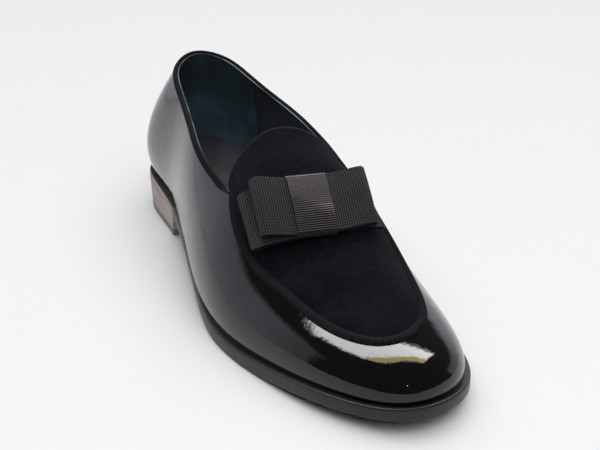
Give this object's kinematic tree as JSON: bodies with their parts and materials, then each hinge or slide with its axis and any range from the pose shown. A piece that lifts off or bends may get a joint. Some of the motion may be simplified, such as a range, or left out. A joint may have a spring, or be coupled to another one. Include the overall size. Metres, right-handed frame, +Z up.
{
  "type": "loafer shoe",
  "caption": "Right-foot slip-on dress loafer: black patent leather wall, suede apron and tongue with a ribbed edge, ribbon bow, thin sole and low stacked heel.",
  "frame": {"origin": "on the floor, under the middle of the shoe's box", "axes": "+Y from the toe towards the heel, +X towards the inner side of the foot, +Z up from the floor"},
  "size_m": [0.0922, 0.3004, 0.087],
  "materials": {
    "sole_leather": "black stained sole edge, satin",
    "stacked_leather": "grey-brown stacked leather, waxed",
    "heel_rubber": "grey-brown rubber, matt",
    "sock_leather": "black smooth leather",
    "patent_leather": "black patent leather, high gloss",
    "suede": "black suede, fine nap",
    "grosgrain": "black ribbed ribbon",
    "satin_ribbon": "dark ribbed ribbon with a satin sheen"
  },
  "bodies": {
    "root": {"outsole": "sole_leather", "heel_stack": "stacked_leather", "heel_top_piece": "heel_rubber", "insole": "sock_leather", "upper": "patent_leather", "apron": "suede", "apron_piping": "grosgrain", "collar_binding": "grosgrain", "bow_lower": "grosgrain", "bow_upper": "grosgrain", "bow_knot": "satin_ribbon"}
  },
  "joints": []
}
